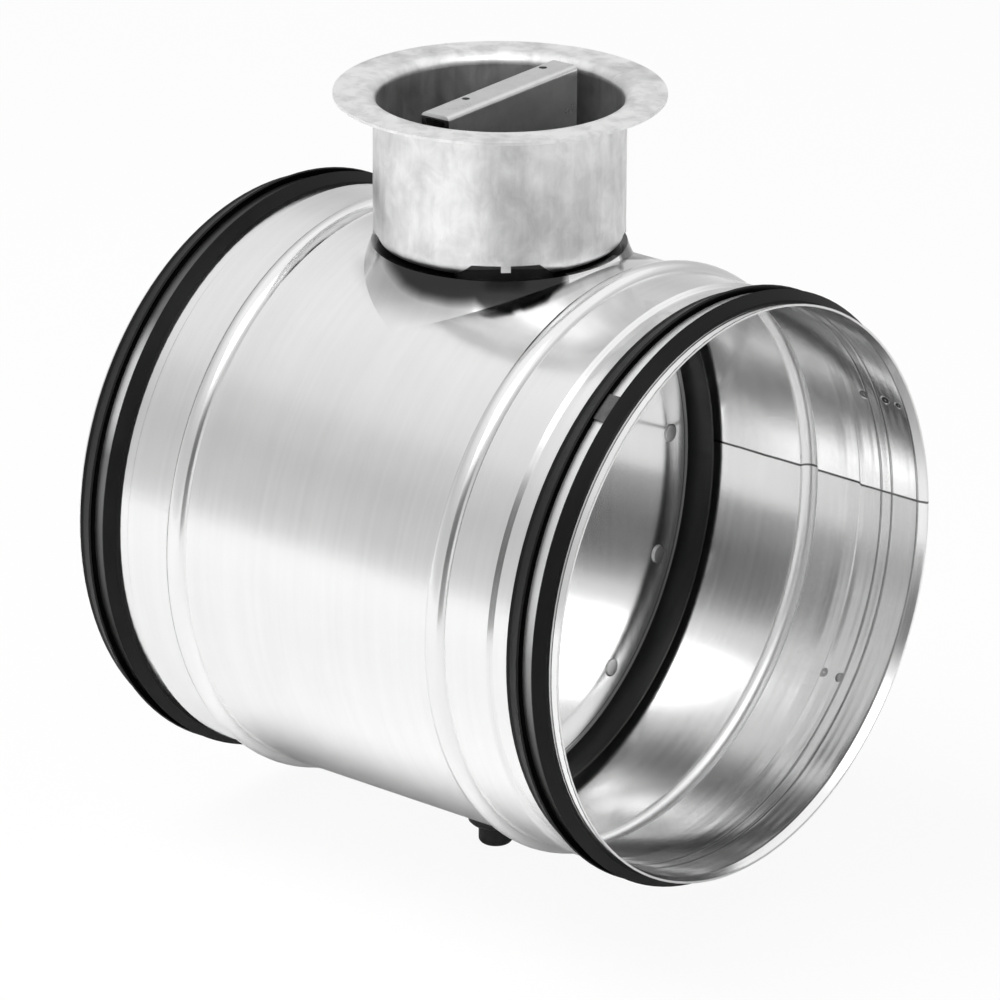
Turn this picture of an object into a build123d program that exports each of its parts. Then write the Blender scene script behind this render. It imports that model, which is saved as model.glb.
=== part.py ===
"""Round volume control damper for a 160 mm ventilation duct, modelled closed.

X runs along the duct, Z up through the spindle, origin where the two axes meet.
All sizes in millimetres.
"""
from build123d import *
from math import degrees, sqrt
import os

# ---- duct body -------------------------------------------------------------
BODY_OD = 159.0            # slips into a 160 mm duct
SHEET = 0.6
RIGHT_LENGTH = 86.7        # spindle to the right rim
LEFT_SHORT = 4.8           # the left spigot is shorter by this
STOP_INSET = 41.1          # rim to the middle of the insertion-stop bead
BEAD_WIDTH = 6.6
BEAD_HEIGHT = 2.2
SEAT_LENGTH = 22.4         # rim to the inner end of the seal seat
SEAT_DROP = 1.1            # how far the seat lies below the body
SEAT_RAMP = 1.2
FLARE_LENGTH = 2.6         # rim to where the seat starts to flare
FLARE_RISE = 0.6
SEAM_DEG = 2.5             # lap weld along the tube, from +Y towards +Z
SEAM_ARC_DEG = 0.4
SEAM_DEPTH = 0.2

# ---- raised pad that carries the cup ---------------------------------------
PAD_RISE = 0.5             # above the crown of the body
PAD_MARGIN = 0.5           # beyond the cup
PAD_REACH = 10.0           # from the pad's edge out to where its flank runs into the tube
PAD_CORE = 20.0            # how deep the pad's tool goes

# ---- cup -------------------------------------------------------------------
CUP_R = 33.9
CUP_SHEET = 0.8
CUP_DEPTH = 41.7
CUP_CORNER = 4.5
FLANGE_WIDTH = 10.7
FLANGE_BEND = 3.0
POCKET_COUNT = 4
POCKET_FIRST_DEG = -47.0
POCKET_HEIGHT = 4.0
POCKET_TOP_W = 18.0
POCKET_FOOT_W = 27.0
POCKET_DEPTH = 9.4         # from the cup's wall inwards
TAB_W = 2.6
TAB_H = 2.2

# ---- cup rivets ------------------------------------------------------------
CUP_RIVET_INSET = 8.9      # from the cup's wall inwards
CUP_RIVET_R = 1.95
CUP_RIVET_HEAD_R = 3.4
CUP_RIVET_HEAD_T = 1.0
CUP_RIVET_TAIL_R = 2.9
CUP_RIVET_TAIL_T = 1.1
CUP_RIVET_ROUND = 0.6

# ---- bearings --------------------------------------------------------------
SPINDLE_R = 4.0
RUNNING_FIT = 0.06         # radial clearance, spindle in bush
PRESS_LINE = 0.05          # radial clearance, bush neck in sheet
NECK_R = 5.6
NECK_INSIDE = 1.2          # how far the necks stand inside the sheet
UPPER_FLANGE_R = 9.5
UPPER_FLANGE_T = 2.2
UPPER_COLLAR_R = 6.8
UPPER_COLLAR_T = 2.4
UPPER_CHAMFER = 0.5
ORING_R = 0.75
LOWER_BODY_R = 7.6
LOWER_BODY_DROP = 9.7      # below the body
LOWER_CHAMFER = 0.8
LOWER_TIP_R = 4.75
LOWER_TIP_DROP = 6.1
LOWER_TIP_ROUND = 1.6
LOWER_FLOOR = 1.6
SPINDLE_END_PLAY = 0.05

# ---- seals and straps, the same way round on both spigots --------------------
SEAL_EDGE_INSET = 3.7      # bare rim outside the right seal
LEFT_EDGE_INSET = 1.0      # bare rim outside the left seal
SEAL_WIDTH = 13.4
SEAL_BAND_T = 0.8
LIP_PROUD = 2.1            # lip tips above the body
LIP_ROOT = 3.3
LIP_TIP_T = 0.5
LIP_FIRST = 1.1            # left edge of the seal to the root of the first lip
LIP_SECOND = 9.9           # left edge of the seal to the root of the second lip
LIP_LEAN = 4.7             # first lip's tip beyond the left edge of its root
LIP_SECOND_LEAN = 0.3      # second lip's tip beyond the left edge of its root
STRAP_MIDDLE = 7.9         # left edge of the seal to the middle of the strap
STRAP_W = 3.8
STRAP_T = 0.6
CLIP_DEG = 127.3           # middle of the right clip, from +Y towards +Z
CLIP_LENGTH = 8.0
CLIP_W = 3.8
CLIP_T = 0.9

# ---- turning blade ---------------------------------------------------------
REST_TURN = 3.5            # closed rest angle off square, degrees
SWING_GAP = 0.4            # between the wall and the ball that the blade sweeps
DISC_T = 1.0
DISC_INSET = 0.5           # edge of the front disc inside the gasket's tip
HEM_WIDTH = 1.5            # outer ring of the front disc, pressed lower
HEM_DROP = 0.5
REAR_INSET = 1.0           # rear disc smaller than the front one
GASKET_T = 4.0
GASKET_LIP_REACH = 8.0     # how far the lip leans out in front of the front disc
GASKET_LIP_T = 0.7
GASKET_LIP_LAND = 3.8
GASKET_LIP_STEP = 0.15     # root of the lip over the edge of the front disc
GASKET_HEEL_DROP = 0.4
GASKET_HEEL_T = 0.6
GASKET_HEEL_BEVEL = 1.2
GASKET_COVER = 5.5         # gasket inside the rivet circle
RIVET_COUNT = 12
RIVET_INSET = 8.9          # rivet circle inside the front disc's edge
RIVET_FIRST_DEG = 6.5
RIVET_SHANK_R = 1.6
RIVET_HEAD_R = 2.6
RIVET_HEAD_T = 0.5
RIVET_ROUND = 0.4
RIVET_FIT = 0.05

SADDLE_T = 1.5
SADDLE_HEIGHT = 26.0
SADDLE_HALF_W = 15.0
SADDLE_INSET = 24.5        # middle of a saddle inside the rivet circle
SADDLE_RIVET_Y = 10.6

# ---- handle and the top of the spindle -------------------------------------
HANDLE_PROUD = 0.8         # above the cup's mouth
HANDLE_FOOT = 11.0         # above the pad
HANDLE_END_GAP = 4.4       # from the cup's wall
HANDLE_W = 9.0
HANDLE_SHEET = 1.5
HANDLE_BEND = 1.35
HANDLE_CORNER = 3.0
HANDLE_HOLE_R = 1.1
HANDLE_HOLES_Y = (-13.0, 21.5)
HANDLE_HOLE_X = -1.7
SPINDLE_TOP_DROP = 10.5    # below the top of the handle
SPINDLE_CHAMFER = 0.6
FLAT_FIT = 0.05            # between the flats and the handle's cheeks
FLAT_BELOW = 1.0           # flats start below the handle
SCREW_LIFT = 11.0          # above the foot of the handle
SCREW_R = 2.0
SCREW_FIT = 0.1
SCREW_HEAD_R = 3.9
SCREW_HEAD_T = 2.4
SCREW_HEAD_ROUND = 1.0
SCREW_PAST_NUT = 1.9
NUT_AF = 7.0
NUT_T = 3.2
WASHER_R = 4.4
WASHER_T = 0.8

OVERCUT = 1.0              # how far a cutting tool runs past the face it cuts

# ---- derived ---------------------------------------------------------------
BODY_R = BODY_OD / 2
WALL_R = BODY_R - SHEET
SEAT_R = BODY_R - SEAT_DROP
RIM_R = SEAT_R + FLARE_RISE
BEAD_X = RIGHT_LENGTH - STOP_INSET
SEAT_X = RIGHT_LENGTH - SEAT_LENGTH
FLARE_X = RIGHT_LENGTH - FLARE_LENGTH
LEFT_X = LEFT_SHORT - RIGHT_LENGTH

PAD_TOP_R = CUP_R + PAD_MARGIN
PAD_TOP_Z = BODY_R + PAD_RISE
CUP_TOP_Z = PAD_TOP_Z + CUP_DEPTH
FLANGE_R = CUP_R + FLANGE_WIDTH
CUP_RIVET_CIRCLE_R = CUP_R - CUP_RIVET_INSET
CUP_RIVET_HOLE_R = CUP_RIVET_R + RIVET_FIT
NECK_HOLE_R = NECK_R + PRESS_LINE
BORE_R = SPINDLE_R + RUNNING_FIT

SEAL_OUTER_X = RIGHT_LENGTH - SEAL_EDGE_INSET
SEAL_INNER_X = SEAL_OUTER_X - SEAL_WIDTH
SEAL_TOP_R = SEAT_R + SEAL_BAND_T
LIP_TIP_R = BODY_R + LIP_PROUD
SEAL_PITCH = SEAL_INNER_X - LEFT_X - LEFT_EDGE_INSET
STRAP_X = SEAL_INNER_X + STRAP_MIDDLE

REAR_X = SPINDLE_R                     # rear disc bears on the spindle
GASKET_X = REAR_X + DISC_T
FRONT_X = GASKET_X + GASKET_T
FACE_X = FRONT_X + DISC_T
LIP_X = FACE_X + GASKET_LIP_REACH
LIP_R = sqrt((WALL_R - SWING_GAP) ** 2 - LIP_X**2)
DISC_R = LIP_R - DISC_INSET
REAR_R = DISC_R - REAR_INSET
HEEL_R = LIP_R - GASKET_HEEL_DROP
RIVET_CIRCLE_R = DISC_R - RIVET_INSET
RIVET_HOLE_R = RIVET_SHANK_R + RIVET_FIT
SADDLE_Z = RIVET_CIRCLE_R - SADDLE_INSET
SADDLE_RIVETS = [(y * SADDLE_RIVET_Y, z * SADDLE_Z) for y in (-1, 1) for z in (-1, 1)]

HANDLE_TOP_Z = CUP_TOP_Z + HANDLE_PROUD
HANDLE_FOOT_Z = PAD_TOP_Z + HANDLE_FOOT
HANDLE_LENGTH = 2 * (CUP_R - CUP_SHEET - HANDLE_END_GAP)
SPINDLE_TOP_Z = HANDLE_TOP_Z - SPINDLE_TOP_DROP
FLAT_HALF = HANDLE_W / 2 - HANDLE_SHEET - FLAT_FIT
FLAT_START_Z = HANDLE_FOOT_Z - FLAT_BELOW
SCREW_Z = HANDLE_FOOT_Z + SCREW_LIFT


def spigot_profile(drop, bead_trim):
    """Half section of the body skin from the middle to the right-hand rim."""
    half_w = BEAD_WIDTH / 2 - bead_trim
    r = BODY_R - drop
    seat = SEAT_R - drop
    with BuildLine() as line:
        Line((0, 0), (0, r))
        Line((0, r), (BEAD_X - half_w, r))
        ThreePointArc((BEAD_X - half_w, r), (BEAD_X, r + BEAD_HEIGHT), (BEAD_X + half_w, r))
        Line((BEAD_X + half_w, r), (SEAT_X - SEAT_RAMP, r))
        Line((SEAT_X - SEAT_RAMP, r), (SEAT_X, seat))
        Line((SEAT_X, seat), (FLARE_X, seat))
        Line((FLARE_X, seat), (RIGHT_LENGTH, RIM_R - drop))
        Line((RIGHT_LENGTH, RIM_R - drop), (RIGHT_LENGTH, 0))
        Line((RIGHT_LENGTH, 0), (0, 0))
    return line.line


# ---- duct body: rolled tube, two beads, two seal seats, raised pad -----------
with BuildPart() as skin_outside:
    with BuildSketch(Plane.XY):
        with BuildLine():
            add(spigot_profile(0, 0))
        make_face()
    revolve(axis=Axis.X)
    mirror(about=Plane.YZ)

with BuildPart() as skin_inside:
    with BuildSketch(Plane.XY):
        with BuildLine():
            add(spigot_profile(SHEET, SHEET / 2))
        make_face()
    revolve(axis=Axis.X)
    mirror(about=Plane.YZ)


def pad_tool(drop):
    """Solid under the pad: flat top, flank that runs tangent into the round of the tube."""
    top = (PAD_TOP_R - drop, PAD_TOP_Z - drop)
    foot_r = (PAD_TOP_R + PAD_REACH) * (BODY_R - drop) / BODY_R
    foot = (foot_r, sqrt((BODY_R - drop) ** 2 - foot_r**2))
    floor_z = top[1] - PAD_CORE
    with BuildPart() as tool:
        with BuildSketch(Plane.XZ):
            with BuildLine():
                TangentArc(foot, top, tangent=(-foot[1], foot[0]))
                Polyline(top, (0, top[1]), (0, floor_z), (foot_r, floor_z), foot)
            make_face()
        revolve(axis=Axis.Z)
    return tool.part


with BuildPart() as seam_line:
    with BuildSketch(Plane.XY.rotated((SEAM_DEG, 0, 0))):
        with BuildLine():
            add(spigot_profile(SHEET - SEAM_DEPTH, SHEET / 2))
        make_face()
    revolve(axis=Axis.X, revolution_arc=SEAM_ARC_DEG)
    mirror(about=Plane.YZ)

with BuildPart() as duct_body:
    add(skin_outside.part)
    add(pad_tool(0))
    add(skin_inside.part, mode=Mode.SUBTRACT)
    add(pad_tool(SHEET), mode=Mode.SUBTRACT)
    add(seam_line.part, mode=Mode.SUBTRACT)
    with BuildSketch(Plane.YZ.offset(LEFT_X)):
        Circle(BODY_R)
    extrude(amount=-2 * LEFT_SHORT, mode=Mode.SUBTRACT)
    with BuildSketch(Plane.XY.offset(PAD_TOP_Z - SHEET - OVERCUT)):
        Circle(NECK_HOLE_R)
        with PolarLocations(CUP_RIVET_CIRCLE_R, POCKET_COUNT):
            Circle(CUP_RIVET_HOLE_R)
    extrude(amount=SHEET + 2 * OVERCUT, mode=Mode.SUBTRACT)
    with BuildSketch(Plane.XY.offset(-BODY_R - OVERCUT)):
        Circle(NECK_HOLE_R)
    extrude(amount=SHEET + 3 * OVERCUT, mode=Mode.SUBTRACT)

# ---- double-lip seals on the spigots ------------------------------------------
first_x = SEAL_INNER_X + LIP_FIRST
second_x = SEAL_INNER_X + LIP_SECOND
tip_low_r = LIP_TIP_R - LIP_TIP_T / 2
with BuildPart() as seal_right:
    with BuildSketch(Plane.XY):
        Polygon(
            (SEAL_INNER_X, SEAT_R),
            (SEAL_OUTER_X, SEAT_R),
            (SEAL_OUTER_X, SEAL_TOP_R),
            (second_x + LIP_ROOT, SEAL_TOP_R),
            (second_x + LIP_SECOND_LEAN + LIP_TIP_T, LIP_TIP_R),
            (second_x + LIP_SECOND_LEAN, tip_low_r),
            (second_x, SEAL_TOP_R),
            (first_x + LIP_ROOT, SEAL_TOP_R),
            (first_x + LIP_LEAN, tip_low_r),
            (first_x + LIP_LEAN - LIP_TIP_T, LIP_TIP_R),
            (first_x, SEAL_TOP_R),
            (SEAL_INNER_X, SEAL_TOP_R),
            align=None,
        )
    revolve(axis=Axis.X)

with BuildPart() as strap_right:
    with BuildSketch(Plane.XY):
        with Locations((STRAP_X, SEAL_TOP_R + STRAP_T / 2)):
            Rectangle(STRAP_W, STRAP_T)
    revolve(axis=Axis.X)

clip_arc = degrees(CLIP_LENGTH / SEAL_TOP_R)
with BuildPart() as strap_clip_right:
    with BuildSketch(Plane.XY.rotated((CLIP_DEG - clip_arc / 2, 0, 0))):
        with Locations((STRAP_X, SEAL_TOP_R + STRAP_T + CLIP_T / 2)):
            Rectangle(CLIP_W, CLIP_T)
    revolve(axis=Axis.X, revolution_arc=clip_arc)

to_left = Pos(-SEAL_PITCH, 0, 0)
left_clip_turn = Rot(180 - 2 * CLIP_DEG, 0, 0)   # the left clip sits behind the top

# ---- cup: drawn, flanged, four pockets raised in the foot -----------------------
def pocket_cutters(grow):
    """Four wedge shapes that lift the foot of the cup between its four lands."""
    top = POCKET_HEIGHT + grow
    with BuildPart() as cutters:
        for k in range(POCKET_COUNT):
            angle = POCKET_FIRST_DEG + k * 360 / POCKET_COUNT
            turned = Plane.XY.rotated((0, 0, angle))
            face = Plane(
                origin=turned.from_local_coords((CUP_R - POCKET_DEPTH - grow, 0, PAD_TOP_Z)),
                x_dir=turned.y_dir,
                z_dir=turned.x_dir,
            )
            with BuildSketch(face):
                Polygon(
                    (-POCKET_FOOT_W / 2 - grow, -OVERCUT),
                    (POCKET_FOOT_W / 2 + grow, -OVERCUT),
                    (POCKET_FOOT_W / 2 + grow, 0),
                    (POCKET_TOP_W / 2 + grow, top),
                    (-POCKET_TOP_W / 2 - grow, top),
                    (-POCKET_FOOT_W / 2 - grow, 0),
                    align=None,
                )
            extrude(amount=CUP_R)
    return cutters.part


outer_pockets = pocket_cutters(0)
inner_pockets = pocket_cutters(CUP_SHEET)

with BuildPart() as cup_outside:
    with BuildSketch(Plane.XY.offset(PAD_TOP_Z)):
        Circle(CUP_R)
    extrude(amount=CUP_DEPTH)
    fillet(cup_outside.edges().sort_by(Axis.Z)[0], CUP_CORNER)
    with BuildSketch(Plane.XY.offset(CUP_TOP_Z - CUP_SHEET)):
        Circle(FLANGE_R)
    extrude(amount=CUP_SHEET)
    under = cup_outside.edges().filter_by(GeomType.CIRCLE).group_by(Axis.Z)[-2]
    fillet(under.sort_by(SortBy.RADIUS)[0], FLANGE_BEND - CUP_SHEET)
    add(outer_pockets, mode=Mode.SUBTRACT)

with BuildPart() as cup_inside:
    with BuildSketch(Plane.XY.offset(PAD_TOP_Z + CUP_SHEET)):
        Circle(CUP_R - CUP_SHEET)
    extrude(amount=CUP_DEPTH)
    fillet(cup_inside.edges().sort_by(Axis.Z)[0], CUP_CORNER - CUP_SHEET)
    add(inner_pockets, mode=Mode.SUBTRACT)

with BuildPart() as cup:
    add(cup_outside.part)
    add(cup_inside.part, mode=Mode.SUBTRACT)
    mouth = cup.edges().filter_by(GeomType.CIRCLE).group_by(Axis.Z)[-1].sort_by(SortBy.RADIUS)[0]
    fillet(mouth, FLANGE_BEND)
    with BuildSketch(Plane.XY.offset(PAD_TOP_Z - OVERCUT)):
        Circle(NECK_HOLE_R)
        with PolarLocations(CUP_RIVET_CIRCLE_R, POCKET_COUNT):
            Circle(CUP_RIVET_HOLE_R)
    extrude(amount=CUP_SHEET + 2 * OVERCUT, mode=Mode.SUBTRACT)
    with BuildSketch(Plane.XY.offset(PAD_TOP_Z + POCKET_HEIGHT - TAB_H + CUP_SHEET / 2)):
        with PolarLocations(CUP_R - CUP_SHEET / 2, POCKET_COUNT, start_angle=POCKET_FIRST_DEG):
            Rectangle(CUP_SHEET, TAB_W)
    extrude(amount=TAB_H + CUP_CORNER / 2)

# ---- cup rivets: one through each land of the cup foot ---------------------------
with BuildPart() as cup_rivets:
    with BuildSketch(Plane.XY.offset(PAD_TOP_Z + CUP_SHEET)):
        with PolarLocations(CUP_RIVET_CIRCLE_R, POCKET_COUNT):
            Circle(CUP_RIVET_HEAD_R)
    extrude(amount=CUP_RIVET_HEAD_T)
    fillet(cup_rivets.edges().group_by(Axis.Z)[-1], CUP_RIVET_ROUND)
    with BuildSketch(Plane.XY.offset(PAD_TOP_Z - SHEET)):
        with PolarLocations(CUP_RIVET_CIRCLE_R, POCKET_COUNT):
            Circle(CUP_RIVET_R)
    extrude(amount=SHEET + CUP_SHEET)
    with BuildSketch(Plane.XY.offset(PAD_TOP_Z - SHEET - CUP_RIVET_TAIL_T)):
        with PolarLocations(CUP_RIVET_CIRCLE_R, POCKET_COUNT):
            Circle(CUP_RIVET_TAIL_R)
    extrude(amount=CUP_RIVET_TAIL_T)
    fillet(cup_rivets.edges().group_by(Axis.Z)[0], CUP_RIVET_ROUND)

# ---- upper bush: flanged bearing pressed through cup and pad ---------------------
upper_flange_z = PAD_TOP_Z + CUP_SHEET
upper_collar_z = upper_flange_z + UPPER_FLANGE_T
upper_top_z = upper_collar_z + UPPER_COLLAR_T
upper_neck_z = PAD_TOP_Z - SHEET - NECK_INSIDE
oring_z = upper_flange_z + UPPER_FLANGE_T / 2
with BuildPart() as upper_bush:
    with BuildSketch(Plane.XY.offset(upper_neck_z)):
        Circle(NECK_R)
    extrude(amount=upper_flange_z - upper_neck_z)
    with BuildSketch(Plane.XY.offset(upper_flange_z)):
        Circle(UPPER_FLANGE_R)
    extrude(amount=UPPER_FLANGE_T)
    with BuildSketch(Plane.XY.offset(upper_collar_z)):
        Circle(UPPER_COLLAR_R)
    extrude(amount=UPPER_COLLAR_T)
    chamfer(upper_bush.edges().group_by(Axis.Z)[-1], UPPER_CHAMFER)
    with BuildSketch(Plane.XY.offset(upper_neck_z - OVERCUT)):
        Circle(BORE_R)
    extrude(amount=upper_top_z - upper_neck_z + 2 * OVERCUT, mode=Mode.SUBTRACT)
    with BuildSketch(Plane.XY.offset(oring_z - ORING_R)):
        Circle(SPINDLE_R + 2 * ORING_R)
    extrude(amount=2 * ORING_R, mode=Mode.SUBTRACT)

# ---- shaft seal: rubber ring in the groove of the upper bush ---------------------
with BuildPart() as shaft_seal:
    with BuildSketch(Plane.XZ):
        with Locations((SPINDLE_R + ORING_R, oring_z)):
            Circle(ORING_R)
    revolve(axis=Axis.Z)

# ---- lower bush: stepped plastic bearing under the duct --------------------------
lower_body_z = -BODY_R - LOWER_BODY_DROP
lower_tip_z = lower_body_z - LOWER_TIP_DROP
lower_neck_z = NECK_INSIDE - WALL_R
lower_floor_z = lower_tip_z + LOWER_FLOOR
with BuildPart() as lower_bush:
    with BuildSketch(Plane.XY.offset(lower_body_z)):
        Circle(LOWER_BODY_R)
    extrude(amount=LOWER_BODY_DROP + LOWER_BODY_R / 2)
    chamfer(lower_bush.edges().group_by(Axis.Z)[0], LOWER_CHAMFER)
    with BuildSketch(Plane.YZ):
        Circle(BODY_R)
    extrude(amount=2 * LOWER_BODY_R, both=True, mode=Mode.SUBTRACT)
    with BuildSketch(Plane.XY.offset(lower_body_z)):
        Circle(NECK_R)
    extrude(amount=lower_neck_z - lower_body_z)
    with BuildSketch(Plane.XY.offset(lower_tip_z)):
        Circle(LOWER_TIP_R)
    extrude(amount=LOWER_TIP_DROP)
    fillet(lower_bush.edges().group_by(Axis.Z)[0], LOWER_TIP_ROUND)
    with BuildSketch(Plane.XY.offset(lower_floor_z)):
        Circle(BORE_R)
    extrude(amount=lower_neck_z - lower_floor_z + OVERCUT, mode=Mode.SUBTRACT)

# ---- spindle: one round bar from the lower bush up into the handle ---------------
spindle_foot_z = lower_floor_z + SPINDLE_END_PLAY
with BuildPart() as spindle:
    with BuildSketch(Plane.XY.offset(spindle_foot_z)):
        Circle(SPINDLE_R)
    extrude(amount=SPINDLE_TOP_Z - spindle_foot_z)
    chamfer(spindle.edges().filter_by(GeomType.CIRCLE), SPINDLE_CHAMFER)
    with BuildSketch(Plane.XY.offset(FLAT_START_Z)):
        with Locations((FLAT_HALF + SPINDLE_R / 2, 0), (-FLAT_HALF - SPINDLE_R / 2, 0)):
            Rectangle(SPINDLE_R, 3 * SPINDLE_R)
    extrude(amount=SPINDLE_TOP_Z - FLAT_START_Z, mode=Mode.SUBTRACT)
    with BuildSketch(Plane.YZ):
        with Locations((0, SCREW_Z)):
            Circle(SCREW_R + SCREW_FIT)
    extrude(amount=2 * SPINDLE_R, both=True, mode=Mode.SUBTRACT)


# ---- blade discs: pressed from sheet, clamped each side of the gasket ------------
def gasket_rivets():
    """Places of the rivets that clamp the gasket between the discs."""
    return PolarLocations(RIVET_CIRCLE_R, RIVET_COUNT, start_angle=RIVET_FIRST_DEG)


def saddle_rivet_places():
    """Places of the rivets that hold the two saddles to the rear disc."""
    return Locations(*SADDLE_RIVETS)


def rivet_holes(places, x_from, thickness):
    """Round holes bored along X through one sheet."""
    with BuildPart() as bores:
        with BuildSketch(Plane.YZ.offset(x_from - OVERCUT)):
            with places():
                Circle(RIVET_HOLE_R)
        extrude(amount=thickness + 2 * OVERCUT)
    return bores.part


with BuildPart() as blade_front:
    with BuildSketch(Plane.YZ.offset(FRONT_X)):
        Circle(DISC_R)
    extrude(amount=DISC_T - HEM_DROP)
    with BuildSketch(Plane.YZ.offset(FACE_X - HEM_DROP)):
        Circle(DISC_R - HEM_WIDTH)
    extrude(amount=HEM_DROP)
    add(rivet_holes(gasket_rivets, FRONT_X, DISC_T), mode=Mode.SUBTRACT)

with BuildPart() as blade_rear:
    with BuildSketch(Plane.YZ.offset(REAR_X)):
        Circle(REAR_R)
    extrude(amount=DISC_T)
    add(rivet_holes(gasket_rivets, REAR_X, DISC_T), mode=Mode.SUBTRACT)
    add(rivet_holes(saddle_rivet_places, REAR_X, DISC_T), mode=Mode.SUBTRACT)

# ---- blade gasket: rubber ring whose lip leans out to meet the duct --------------
gasket_inner_r = RIVET_CIRCLE_R - GASKET_COVER
with BuildPart() as blade_gasket:
    with BuildSketch(Plane.XY):
        Polygon(
            (GASKET_X, gasket_inner_r),
            (FRONT_X, gasket_inner_r),
            (FRONT_X, DISC_R),
            (FRONT_X + DISC_T / 2, DISC_R + GASKET_LIP_STEP),
            (LIP_X, LIP_R - GASKET_LIP_T),
            (LIP_X, LIP_R),
            (LIP_X - GASKET_LIP_LAND, LIP_R),
            (FRONT_X - GASKET_HEEL_T, HEEL_R),
            (GASKET_X, HEEL_R - GASKET_HEEL_BEVEL),
            align=None,
        )
    revolve(axis=Axis.X)
    add(rivet_holes(gasket_rivets, GASKET_X, GASKET_T), mode=Mode.SUBTRACT)


def rivet_row(places, tail_x, face_x):
    """Headed pins with a low dome in front and a set tail behind."""
    with BuildPart() as pins:
        with BuildSketch(Plane.YZ.offset(tail_x)):
            with places():
                Circle(RIVET_SHANK_R)
        extrude(amount=face_x - tail_x)
        with BuildSketch(Plane.YZ.offset(face_x)):
            with places():
                Circle(RIVET_HEAD_R)
        extrude(amount=RIVET_HEAD_T)
        fillet(pins.edges().group_by(Axis.X)[-1], RIVET_ROUND)
        with BuildSketch(Plane.YZ.offset(tail_x - RIVET_HEAD_T)):
            with places():
                Circle(RIVET_HEAD_R)
        extrude(amount=RIVET_HEAD_T)
    return pins.part


blade_rivets = rivet_row(gasket_rivets, REAR_X, FACE_X)

# ---- spindle saddles: strap bent over the spindle, riveted to the blade ----------
saddle_outer = SPINDLE_R + SADDLE_T


def spindle_saddle(height_z):
    """One saddle centred at the given height."""
    with BuildPart() as saddle:
        with BuildSketch(Plane.XY.offset(height_z - SADDLE_HEIGHT / 2)):
            Circle(saddle_outer)
            with Locations((REAR_X / 2, 0)):
                Rectangle(REAR_X, 2 * saddle_outer)
            with Locations((REAR_X - SADDLE_T / 2, 0)):
                Rectangle(SADDLE_T, 2 * SADDLE_HALF_W)
            with Locations((REAR_X + saddle_outer / 2, 0)):
                Rectangle(saddle_outer, 2 * SADDLE_HALF_W, mode=Mode.SUBTRACT)
            Circle(SPINDLE_R, mode=Mode.SUBTRACT)
            with Locations((REAR_X / 2, 0)):
                Rectangle(REAR_X, 2 * SPINDLE_R, mode=Mode.SUBTRACT)
        extrude(amount=SADDLE_HEIGHT)
        add(rivet_holes(saddle_rivet_places, REAR_X - SADDLE_T, SADDLE_T), mode=Mode.SUBTRACT)
    return saddle.part


saddle_rivets = rivet_row(saddle_rivet_places, REAR_X - SADDLE_T, REAR_X + DISC_T)

# ---- handle: long folded channel over the spindle --------------------------------
handle_height = HANDLE_TOP_Z - HANDLE_FOOT_Z
with BuildPart() as handle:
    with BuildSketch(Plane.XY.offset(HANDLE_FOOT_Z)):
        Rectangle(HANDLE_W, HANDLE_LENGTH)
    extrude(amount=handle_height)
    fillet(handle.edges().filter_by(Axis.Y).group_by(Axis.Z)[-1], HANDLE_BEND)
    with BuildSketch(Plane.XY.offset(HANDLE_FOOT_Z)):
        Rectangle(HANDLE_W - 2 * HANDLE_SHEET, HANDLE_LENGTH)
    extrude(amount=handle_height - HANDLE_SHEET, mode=Mode.SUBTRACT)
    fillet(handle.edges().filter_by(Axis.X).group_by(Axis.Z)[0], HANDLE_CORNER)
    with BuildSketch(Plane.XY.offset(HANDLE_TOP_Z - HANDLE_SHEET)):
        with Locations(*[(HANDLE_HOLE_X, y) for y in HANDLE_HOLES_Y]):
            Circle(HANDLE_HOLE_R)
    extrude(amount=HANDLE_SHEET, mode=Mode.SUBTRACT)
    with BuildSketch(Plane.YZ):
        with Locations((0, SCREW_Z)):
            Circle(SCREW_R + SCREW_FIT)
    extrude(amount=HANDLE_W, both=True, mode=Mode.SUBTRACT)

# ---- cross screw, washer and nut that clamp the handle on the flats --------------
plate_x = HANDLE_W / 2
with BuildPart() as handle_screw:
    with BuildSketch(Plane.YZ.offset(-plate_x - SCREW_HEAD_T)):
        with Locations((0, SCREW_Z)):
            Circle(SCREW_HEAD_R)
    extrude(amount=SCREW_HEAD_T)
    fillet(handle_screw.edges().group_by(Axis.X)[0], SCREW_HEAD_ROUND)
    with BuildSketch(Plane.YZ.offset(-plate_x)):
        with Locations((0, SCREW_Z)):
            Circle(SCREW_R)
    extrude(amount=2 * plate_x + WASHER_T + NUT_T + SCREW_PAST_NUT)

with BuildPart() as handle_washer:
    with BuildSketch(Plane.YZ.offset(plate_x)):
        with Locations((0, SCREW_Z)):
            Circle(WASHER_R)
            Circle(SCREW_R + SCREW_FIT, mode=Mode.SUBTRACT)
    extrude(amount=WASHER_T)

with BuildPart() as handle_nut:
    with BuildSketch(Plane.YZ.offset(plate_x + WASHER_T)):
        with Locations((0, SCREW_Z)):
            RegularPolygon(NUT_AF / 2, 6, major_radius=False)
            Circle(SCREW_R + SCREW_FIT / 2, mode=Mode.SUBTRACT)
    extrude(amount=NUT_T)

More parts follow.
